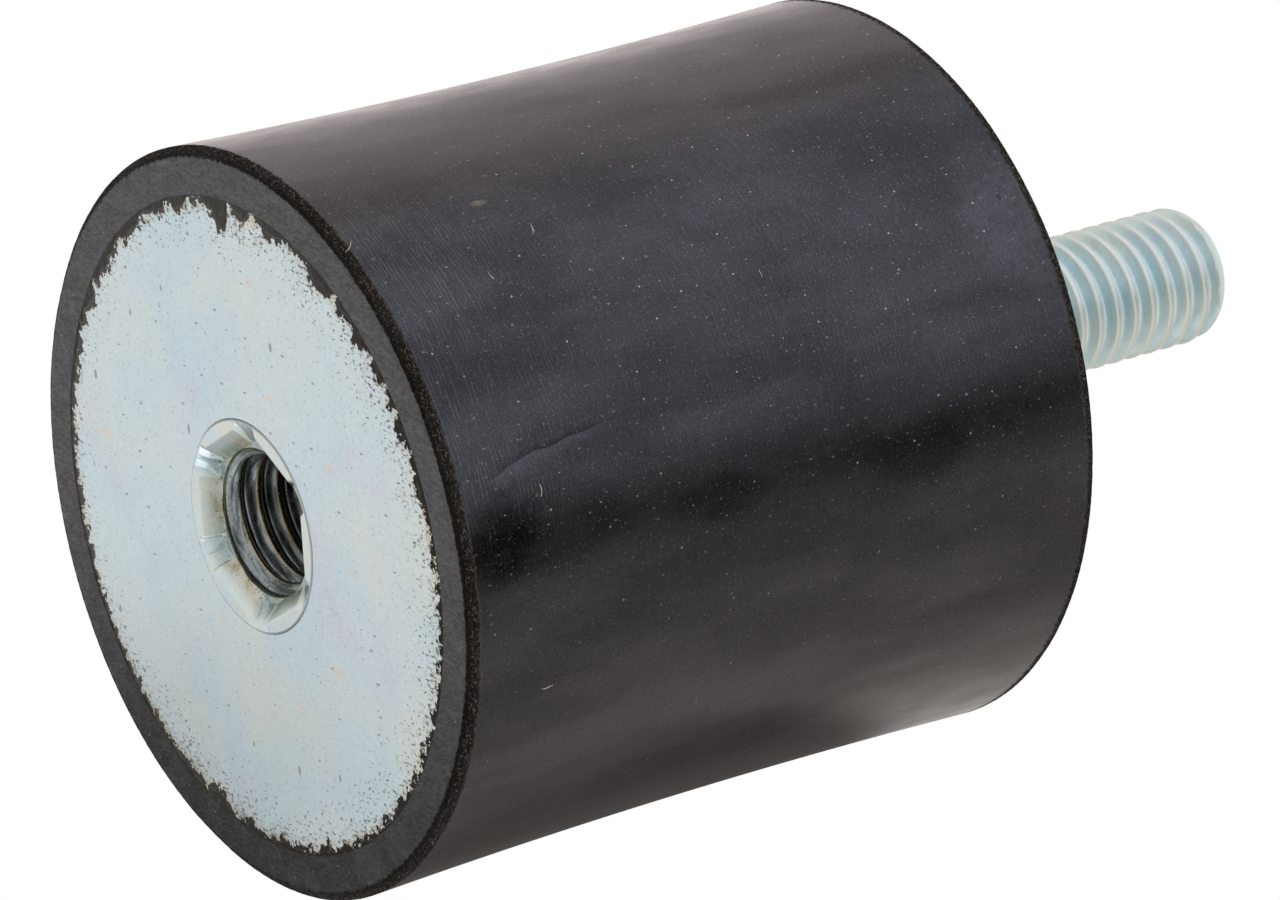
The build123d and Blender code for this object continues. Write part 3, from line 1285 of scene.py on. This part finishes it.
@dataclass
class ThreadedInsert:
    """The blind bush in the female end: staked mouth, thread, drill point and collar.

    Its first turn is pressed open by the punch. run_in gives depths past the print, mm, and the
    radius of the thread's crest at each.
    """

    thread: Thread = field(default_factory=lambda: Thread(depth=INNER_DEPTH, soften=0.085))
    spigot_r: float = 5.45
    staked_flare: float = 0.25
    print_flats: float = 9.8
    print_depth: float = 0.9
    lug_width: float = 1.7
    lug_reach: float = 5.6
    lug_knee: tuple[float, float] = (5.05, 0.45)
    lug_root: float = 4.3
    lug_inner: float = 0.20  # how far the lug's rounded side runs in and out from its edge
    lug_outer: float = 0.18
    tap_drill_r: float = 3.4
    run_in: Sequence[tuple[float, float]] = (
        (0.0, 4.0), (0.15, 3.88), (0.32, 3.74), (0.44, 3.56), (0.80, 3.4)
    )
    bore_depth: float = 8.8
    thread_depth: float = 8.0
    drill_point: float = 118.0
    collar_chamfer: float = 1.0
    start_gap: float = 0.02  # between the print and the thread's first row
    fade_in: tuple[float, float] = (-0.1, 0.2)  # the thread rises between these places past its first row
    fade_out: float = 0.5
    rows_past: float = 0.4
    soften: float = 0.10
    soften_back: float = 0.9  # share of the softening's rise that is taken off again
    lip_round: float = 0.09
    segments: int = 432
    mouth_rows: int = 44
    thread_rows: int = 120

    def mouth_depth(self, radius: np.ndarray, angle: np.ndarray) -> np.ndarray:
        """Depth of the punch's print below the insert's face.

        Args:
            radius: Radii, mm.
            angle: Angles round the axis, radians.

        Returns:
            Depths, mm.
        """
        sector = math.pi / 3
        side = (angle + sector / 2) % sector - sector / 2
        across = radius * np.cos(side - np.sign(side) * sector / 2)
        off = radius * np.sin(np.abs(side))
        slope = self.print_depth / (self.print_flats / 2 - self.thread.nominal / 2)
        facet = (self.print_flats / 2 - across) * slope
        along = radius * np.cos(side)
        knee_r, knee_z = self.lug_knee
        channel = np.interp(along, [self.lug_root, knee_r, self.lug_reach], [self.print_depth, knee_z, 0.0])
        inside = 1 - ease(off, self.lug_width / 2 - self.lug_inner, self.lug_width / 2 + self.lug_outer)
        depth = np.maximum(facet, channel * inside)
        soft = self.soften
        depth = 0.5 * (depth + np.sqrt(depth * depth + soft * soft)) - soft / 2 * self.soften_back
        from_edge = np.clip(self.spigot_r + self.staked_flare - radius, 0, self.lip_round)
        lip = self.lip_round - np.sqrt(self.lip_round ** 2 - (self.lip_round - from_edge) ** 2)
        return np.clip(np.maximum(depth, lip), 0.0, self.print_depth)

    def build(self, material: Material) -> bpy.types.Object:
        """Make the insert.

        Args:
            material: Finish of the plating.

        Returns:
            The piece.
        """
        angle = ring_angles(self.segments)[None, :]
        staked_r = self.spigot_r + self.staked_flare
        mouth_r = np.linspace(staked_r, self.thread.nominal / 2, self.mouth_rows)[:, None] + 0 * angle
        mouth_z = self.mouth_depth(mouth_r, angle)
        start = self.print_depth + self.start_gap
        last = self.thread_depth + self.rows_past
        thread_z = np.linspace(start, last, self.thread_rows)[:, None] + 0 * angle
        depth_in = self.thread.rise(angle, -thread_z)
        begun = ease(thread_z, *(start + past for past in self.fade_in))
        live = begun * (1 - ease(thread_z, self.thread_depth - self.fade_out, self.thread_depth))
        run_z, run_r = zip(*self.run_in)
        crest = np.interp(thread_z - start, run_z, run_r)
        thread_r = crest + (self.thread.nominal / 2 - crest) * depth_in * live
        tip = self.bore_depth + self.tap_drill_r / math.tan(math.radians(self.drill_point / 2))
        tail = np.array([
            (self.tap_drill_r, self.bore_depth),
            (0.0, tip),
            (0.0, SIZES.insert_h),
            (SIZES.collar_r - self.collar_chamfer, SIZES.insert_h),
            (SIZES.collar_r, SIZES.insert_h - self.collar_chamfer),
            (SIZES.collar_r, SIZES.plate_t),
            (self.spigot_r, SIZES.plate_t),
            (self.spigot_r, self.staked_flare + self.lip_round),
        ])
        wide = np.ones_like(angle)
        radius = np.concatenate([mouth_r, thread_r, tail[:, :1] * wide])
        height = np.concatenate([mouth_z, thread_z, tail[:, 1:] * wide])
        piece = grid_object("insert_bush", turned_points(radius, height, self.segments), loop_rows=True)
        return dress(piece, material, "zinc_insert", "threaded_insert")


# ---------------------------------------------------------------- stud


@dataclass
class ThreadedStud:
    """The headed stud: head and shoulder out of sight, rolled thread and bevelled tip outside."""

    thread: Thread = field(default_factory=lambda: Thread(short=0.14, soften=0.06))
    shoulder_r: float = 4.5
    head_chamfer: float = 0.6
    tip_inset: float = 1.35
    tip_height: float = 1.7
    plain: float = 0.2  # unrolled length next to the plate
    runout: float = 1.2
    blank_rise: float = 0.55  # height of the unrolled blank between root and crest
    segments: int = 144
    row_step: float = 0.055

    def build(self, material: Material) -> bpy.types.Object:
        """Make the stud.

        Args:
            material: Finish of the plating.

        Returns:
            The piece.
        """
        angle = ring_angles(self.segments)[None, :]
        face = SIZES.body_h
        crest = self.thread.crest_r
        rows = int((SIZES.stud_top - face) / self.row_step)
        height = np.linspace(face, SIZES.stud_top, rows)[:, None] + 0 * angle
        rise = self.thread.rise(angle, height)
        blank = 1 - ease(height, face + self.plain, face + self.runout)
        rise = rise * (1 - blank) + self.blank_rise * blank
        from_tip = (SIZES.stud_top - height) / self.tip_height
        tip = self.tip_inset * (1 - np.sqrt(1 - np.clip(1 - from_tip, 0, 1) ** 2))
        radius = crest - np.maximum(self.thread.root_depth * (1 - rise), tip)
        low, plate = SIZES.stud_low, SIZES.body_h - SIZES.plate_t
        root = np.array([
            (0.0, low),
            (SIZES.stud_head_r - self.head_chamfer, low),
            (SIZES.stud_head_r, low + self.head_chamfer),
            (SIZES.stud_head_r, plate),
            (self.shoulder_r, plate),
            (self.shoulder_r, face),
        ])
        wide = np.ones_like(angle)
        end = np.linspace(1, 0, 5)[1:, None] * radius[-1:]
        radius = np.concatenate([root[:, :1] * wide, radius, end])
        height = np.concatenate([root[:, 1:] * wide, height, np.full_like(end, SIZES.stud_top)])
        piece = grid_object("stud_bolt", turned_points(radius, height, self.segments))
        return dress(piece, material, "zinc_stud", "stud")


# ---------------------------------------------------------------- studio


def toward(azimuth: float, elevation: float) -> Vector:
    """Unit vector that points from the mount to this azimuth and elevation, degrees."""
    a, e = math.radians(azimuth), math.radians(elevation)
    return Vector((math.cos(e) * math.cos(a), math.cos(e) * math.sin(a), math.sin(e)))


@dataclass(frozen=True)
class SoftBox:
    """A large, even lamp that faces the mount. It lights, but the cards stand for it in reflections.

    Attributes:
        bearing: Degrees round the mount from the camera.
        elevation: Degrees above the floor.
        distance: Metres from the mount.
        width: Width, metres.
        height: Height, metres.
        power: Watts.
        colour: Its colour.
    """

    name: str
    bearing: float
    elevation: float
    distance: float
    width: float
    height: float
    power: float
    colour: str = "#ffffff"

    def place(self, target: Vector) -> None:
        """Hang the lamp.

        Args:
            target: Point that it faces, metres.
        """
        lamp = bpy.data.lights.new(self.name, "AREA")
        lamp.shape = "RECTANGLE"
        lamp.size, lamp.size_y = self.width, self.height
        lamp.energy = self.power
        lamp.color = hex_linear(self.colour)[:3]
        holder = add_object(self.name, lamp)
        back = toward(CAMERA_AZIMUTH + self.bearing, self.elevation)
        holder.location = target + back * self.distance
        holder.rotation_euler = (-back).to_track_quat("-Z", "Y").to_euler()
        holder.visible_camera = False
        holder.visible_glossy = False


@dataclass(frozen=True)
class Card:
    """A card that only reflections see: bright for a window, dark for a gap between lamps.

    Attributes:
        bearing: Degrees round the mount from the camera.
        reach: Metres out from the mount's axis.
        height: Metres above the floor.
        width: Width, metres.
        depth: Height as it stands, or depth as it lies, metres.
        shade: Its colour.
        glow: Strength of the shade.
        density: How much of what lies behind it is hidden.
        soft: Share of its half-size over which its edges fade.
        level: Whether it lies level instead of facing the mount.
        yaw: Degrees that it is turned about the upright.
    """

    name: str
    bearing: float
    reach: float
    height: float
    width: float
    depth: float
    shade: str = "#000000"
    glow: float = 1.0
    density: float = 1.0
    soft: float = 0.3
    level: bool = False
    yaw: float = 0.0

    def finish(self) -> Material:
        """Draw up the card's soft-edged shade."""
        sheet = Sheet(self.name)
        mask: object = self.density
        for place, size in ((sheet.x, self.width), (sheet.y, self.depth)):
            half = size / 2 / MM
            inside = sheet.grade(sheet.math("ABSOLUTE", place), half, half * (1 - self.soft))
            mask = sheet.times(inside, mask)
        clear = sheet.node("ShaderNodeBsdfTransparent")
        shade = sheet.node("ShaderNodeEmission", {"Color": hex_linear(self.shade), "Strength": self.glow})
        mixed = sheet.node("ShaderNodeMixShader", {0: mask, 1: clear.outputs[0], 2: shade.outputs[0]})
        sheet.node("ShaderNodeOutputMaterial", {0: mixed.outputs[0]})
        return sheet.material

    def place(self, target: Vector) -> None:
        """Stand the card up.

        Args:
            target: Point that it faces, metres.
        """
        mesh = flat_mesh(self.name, self.width / 2, self.depth / 2)
        mesh.materials.append(self.finish())
        card = add_object(self.name, mesh)
        azimuth = CAMERA_AZIMUTH + self.bearing
        card.location = toward(azimuth, 0) * self.reach + Vector((0, 0, self.height))
        facing = (card.location - target).to_track_quat("Z", "Y")
        if self.level:
            facing = Matrix.Rotation(math.radians(azimuth - 90), 3, "Z").to_quaternion()
        turn = Matrix.Rotation(math.radians(self.yaw), 3, "Z").to_quaternion()
        card.rotation_euler = (turn @ facing).to_euler()
        card.visible_camera = False
        card.visible_diffuse = False
        card.visible_shadow = False
        card.visible_transmission = False


SOFT_BOXES = (
    SoftBox("window_light", -50, 30, 0.9, 0.75, 0.75, 7.0, "#f1f6ff"),
    SoftBox("front_light", 0, -50, 1.0, 0.6, 0.6, 4.0),
    SoftBox("top_light", 170, 62, 1.1, 0.9, 0.9, 8.0),
)
CARDS = (
    Card("window", -34, 0.52, 0.40, 1.25, 0.70, "#e6ebff", glow=1.45, soft=0.2),
    Card("window_bar", -28, 0.42, 0.33, 0.075, 0.50, "#20242c", density=0.35, soft=0.8),
    Card("window_post", -66, 0.42, 0.33, 0.09, 0.50, "#20242c", density=0.3, soft=0.8),
    Card("gap", 25, 0.38, 0.33, 0.21, 0.56, "#08080a", soft=0.55),
    Card("near_wall", 76, 0.50, 0.40, 0.85, 0.70, "#e9e0de"),
    Card("far_wall", 132, 0.50, 0.40, 0.85, 0.70, "#f6ece6"),
    Card("left_wall", -125, 0.50, 0.40, 0.95, 0.70, "#fff1f3", soft=0.2),
    Card("far_glow", -164, 0.50, 0.35, 0.34, 0.62, "#fff4f2", glow=1.55, soft=0.6),
    Card("low_shelf", 139, 0.0717, 0.05, 0.1, 0.082, "#6b6562", density=0.97, soft=0.2, level=True, yaw=12),
    Card("low_lamp", -75, 0.45, 0.03, 0.28, 0.18, "#f4f6ff", glow=2.4, soft=0.6),
    Card("low_gap", -155, 0.45, 0.06, 0.30, 0.16, "#3a4341", density=0.7, soft=0.9),
    Card("below_gap", 51, 0.25, -0.32, 0.30, 0.30, "#5b5648", density=0.45, soft=0.9),
    Card("low_window", 114, 0.30, -0.27, 0.17, 0.15, "#f4f8ff", glow=2.2, soft=0.5),
    Card("corner", 18.5, 0.0398, 0.0181, 0.0185, 0.0110, soft=0.5, level=True),
    Card("under_board", 151, 0.051, -0.008, 0.054, 0.040, "#0d0c0c", density=0.52, soft=0.6, yaw=29),
)


@dataclass
class Studio:
    """Pale floor, white surroundings, soft lamps and the camera."""

    fill: float = 0.55
    floor_colour: str = "#e9e9e7"
    floor_reach: float = 1.2
    floor_gap: float = 0.0002
    floor_fade: tuple[float, float] = (90.0, 420.0)  # where it starts and ends its fade, mm
    lens: float = 210.0
    camera_distance: float = 0.398
    camera_roll: float = 74.6
    aim: tuple[float, float, float] = (1.4, -0.55, 24.3)  # what the camera looks at, mm

    def build(self) -> None:
        """Set up everything round the mount."""
        low, high = CAD_BOX
        target = (Vector(low) + Vector(high)) / 2
        self.surround()
        self.floor(Vector(low).z - self.floor_gap)
        for piece in (*SOFT_BOXES, *CARDS):
            piece.place(target)
        self.camera()
        bpy.context.scene.view_settings.view_transform = "Standard"

    def surround(self) -> None:
        """White surroundings for the eye and for reflections, softer light for the rest."""
        world = bpy.data.worlds.new("white_studio")
        world.use_nodes = True
        world.node_tree.nodes.clear()
        bpy.context.scene.world = world
        rays = add_node(world, "ShaderNodeLightPath").outputs
        seen = rays["Is Camera Ray"]
        for kind in ("Is Glossy Ray", "Is Transmission Ray"):
            seen = add_node(world, "ShaderNodeMath", {0: seen, 1: rays[kind]}, operation="MAXIMUM").outputs[0]
        soft, white = (
            add_node(world, "ShaderNodeBackground", {"Color": WHITE, "Strength": strength}).outputs[0]
            for strength in (self.fill, 1.0)
        )
        mixed = add_node(world, "ShaderNodeMixShader", {0: seen, 1: soft, 2: white})
        add_node(world, "ShaderNodeOutputWorld", {0: mixed.outputs[0]})

    def floor(self, level: float) -> None:
        """Pale floor that shows only from above and fades into the white surroundings.

        Args:
            level: Height of the floor, metres.
        """
        mesh = flat_mesh("floor", self.floor_reach, self.floor_reach, level)
        floor = add_object("floor", mesh)
        sheet = Sheet("pale_floor")
        grain = sheet.grade(sheet.clouds(2.0, 3.0), 0.3, 0.7, 0.0, 0.04)
        colour = sheet.tint(grain, self.floor_colour, "#cfcfcc")
        matt = sheet.node("ShaderNodeBsdfDiffuse", {"Color": colour})
        white = sheet.node("ShaderNodeEmission", {"Color": WHITE, "Strength": 1.0})
        away = sheet.grade(sheet.radius, *self.floor_fade)
        faded = sheet.node("ShaderNodeMixShader", {0: away, 1: matt.outputs[0], 2: white.outputs[0]})
        clear = sheet.node("ShaderNodeBsdfTransparent")
        back = sheet.node("ShaderNodeNewGeometry").outputs["Backfacing"]
        sided = sheet.node("ShaderNodeMixShader", {0: back, 1: faded.outputs[0], 2: clear.outputs[0]})
        sheet.node("ShaderNodeOutputMaterial", {0: sided.outputs[0]})
        mesh.materials.append(sheet.material)
        floor.visible_shadow = False
        floor.visible_diffuse = False
        floor.visible_glossy = False
        floor.visible_transmission = False

    def camera(self) -> None:
        """Camera that looks up at the female end, with the axis rising to the right."""
        lens = bpy.data.cameras.new("camera")
        lens.sensor_width = 36.0
        lens.lens = self.lens
        lens.clip_start, lens.clip_end = 0.01, 10.0
        camera = add_object("camera", lens)
        back = toward(CAMERA_AZIMUTH, CAMERA_ELEVATION)
        camera.location = Vector(self.aim) * MM + back * self.camera_distance
        level = (-back).to_track_quat("-Z", "Y").to_matrix().to_4x4()
        roll = Matrix.Rotation(math.radians(self.camera_roll), 4, "Z")
        camera.matrix_world = Matrix.Translation(camera.location) @ level @ roll
        bpy.context.scene.camera = camera


# ---------------------------------------------------------------- the whole mount

FEMALE_TONGUES = tuple(Tongue(*row) for row in (
    (177.6, 2.4, 1.75), (176.0, 4.2, 0.95), (164.0, 3.2, 0.75), (157.0, 2.0, 0.85), (146.0, 6.0, 0.75),
    (133.0, 7.0, 0.75), (121.0, 5.0, 0.7), (108.0, 5.0, 0.7), (90.0, 12.0, 0.4), (68.0, 12.0, 0.35),
    (45.0, 14.0, 0.3), (27.0, 8.0, 0.45), (18.5, 3.2, 0.85), (-3.0, 2.0, 0.6), (-17.0, 1.8, 0.5),
    (-75.0, 3.0, 0.35), (-88.0, 2.5, 0.4), (-110.0, 2.6, 0.85), (-120.0, 2.2, 0.8), (-124.5, 1.0, 0.85),
    (-131.0, 2.6, 0.6), (-137.5, 2.2, 0.85), (-143.0, 3.0, 0.65), (-151.0, 4.0, 0.95), (-166.0, 4.0, 0.8),
    (-176.5, 3.0, 0.75),
))
STUD_TONGUES = tuple(Tongue(angle, 9.0, 0.35) for angle in range(-170, 180, 40))

FIBRES = (
    Fibre(-106.3, 5.2, 60.0, 0.75, 70.0), Fibre(-75.2, 4.4, 20.0, 0.8, -50.0),
    Fibre(-145.6, 10.9, 75.0, 0.9, 60.0), Fibre(-150.0, 0.95, 110.0, 1.1, 50.0),
    Fibre(-128.5, 22.0, 80.0, 0.5, 20.0), Fibre(-139.0, 7.0, 95.0, 0.6, -30.0),
)


def main() -> None:
    """Build the mount and its studio."""
    rubber = MouldedRubber().make(SIZES.body_r, SIZES.body_h)
    flash = RubberFlash().make(SIZES.body_h, EndPlate.sink)
    plate = ZincPlating(PlatedPart.PLATE).make()
    RubberBody().build(rubber)
    lint = Lint().make()
    for number, fibre in enumerate(FIBRES, 1):
        fibre.build(f"lint_{number}", lint)
    female = EndPlate(End.FEMALE, 5.45, 0.25, FEMALE_TONGUES, 11)
    female.build_plate(plate)
    female.build_flash(flash)
    back = EndPlate(End.STUD, 4.5, 0.0, STUD_TONGUES, 31)
    back.build_plate(plate)
    back.build_flash(flash)
    insert_zinc = ZincPlating(PlatedPart.INSERT, silver="#cfd4ce", rough=0.28, cloud_size=2.0)
    ThreadedInsert().build(insert_zinc.make())
    stud_zinc = ZincPlating(
        PlatedPart.STUD, silver="#d0dedc", blue="#bcd3d6", straw="#d6d8cc", rough=0.46, cloud_size=3.0
    )
    ThreadedStud().build(stud_zinc.make())
    Studio().build()


if __name__ == "__main__":
    main()
